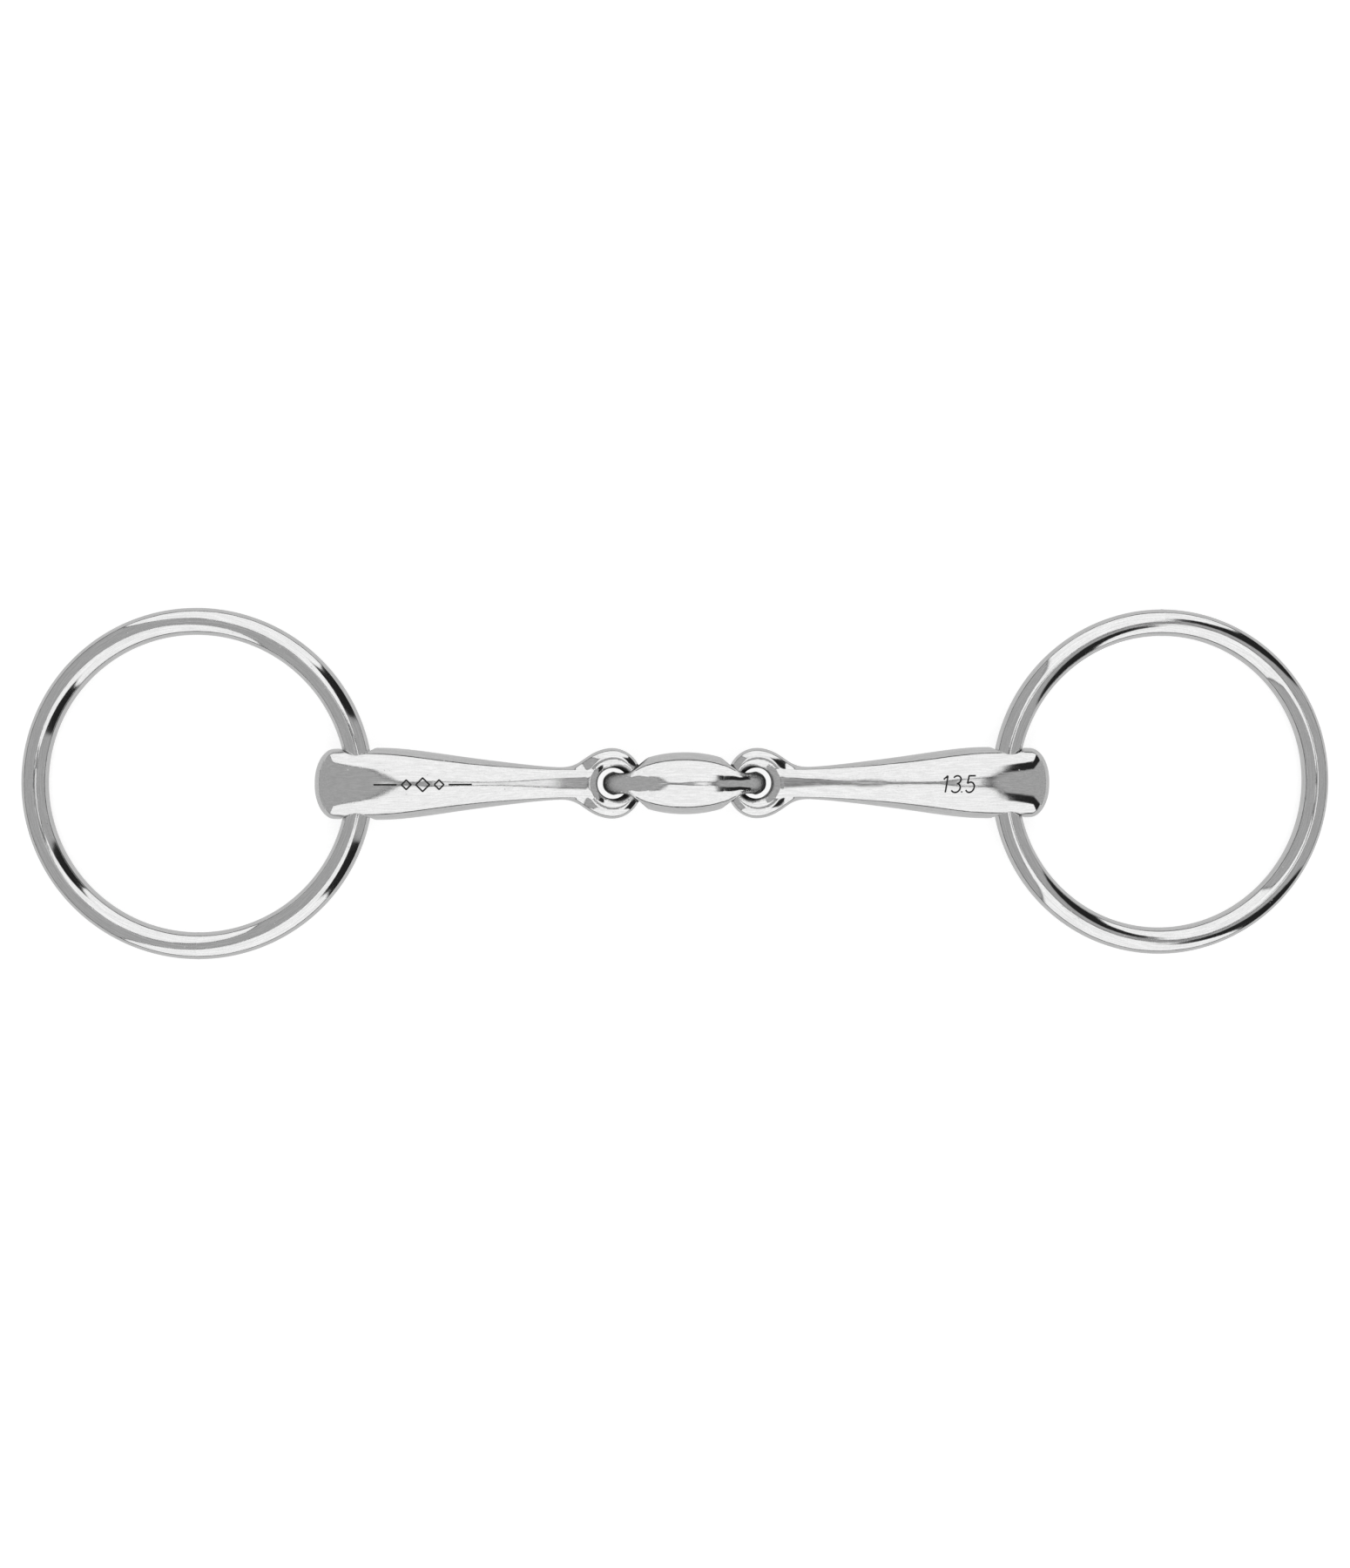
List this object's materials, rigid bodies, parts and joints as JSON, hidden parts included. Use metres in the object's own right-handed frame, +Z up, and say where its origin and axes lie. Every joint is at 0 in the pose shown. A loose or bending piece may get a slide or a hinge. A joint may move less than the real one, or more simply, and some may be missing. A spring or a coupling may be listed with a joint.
{
  "type": "snaffle bit",
  "caption": "Loose-ring snaffle bit: tapered forged cannons hinged to a lozenge-shaped centre link, with round rings that run through the cannons' butts.",
  "frame": {"origin": "under the middle of the centre link, on the surface that the bit lies on", "axes": "+X along the mouthpiece towards the right ring, +Y across the bit, +Z up from the surface it lies on"},
  "size_m": [0.2848, 0.0754, 0.0131],
  "materials": {
    "polished_steel": "mirror-polished stainless steel"
  },
  "bodies": {
    "centre_link": {"centre_link": "polished_steel"},
    "left_cannon": {"left_cannon": "polished_steel"},
    "right_cannon": {"right_cannon": "polished_steel"},
    "left_ring": {"left_ring": "polished_steel"},
    "right_ring": {"right_ring": "polished_steel"}
  },
  "joints": [
    {"name": "left_cannon_bend", "type": "hinge", "parent": "centre_link", "child": "left_cannon", "pos_m": [-0.01165, 0, 0.00662], "axis": [0, 1, 0], "range_deg": [-40, 40]},
    {"name": "left_ring_swing", "type": "hinge", "parent": "left_cannon", "child": "left_ring", "pos_m": [-0.07025, 0, 0.00662], "axis": [0, 1, 0], "range_deg": [-90, 90]},
    {"name": "right_cannon_bend", "type": "hinge", "parent": "centre_link", "child": "right_cannon", "pos_m": [0.01165, 0, 0.00662], "axis": [0, -1, 0], "range_deg": [-40, 40]},
    {"name": "right_ring_swing", "type": "hinge", "parent": "right_cannon", "child": "right_ring", "pos_m": [0.07025, 0, 0.00662], "axis": [0, -1, 0], "range_deg": [-90, 90]}
  ]
}
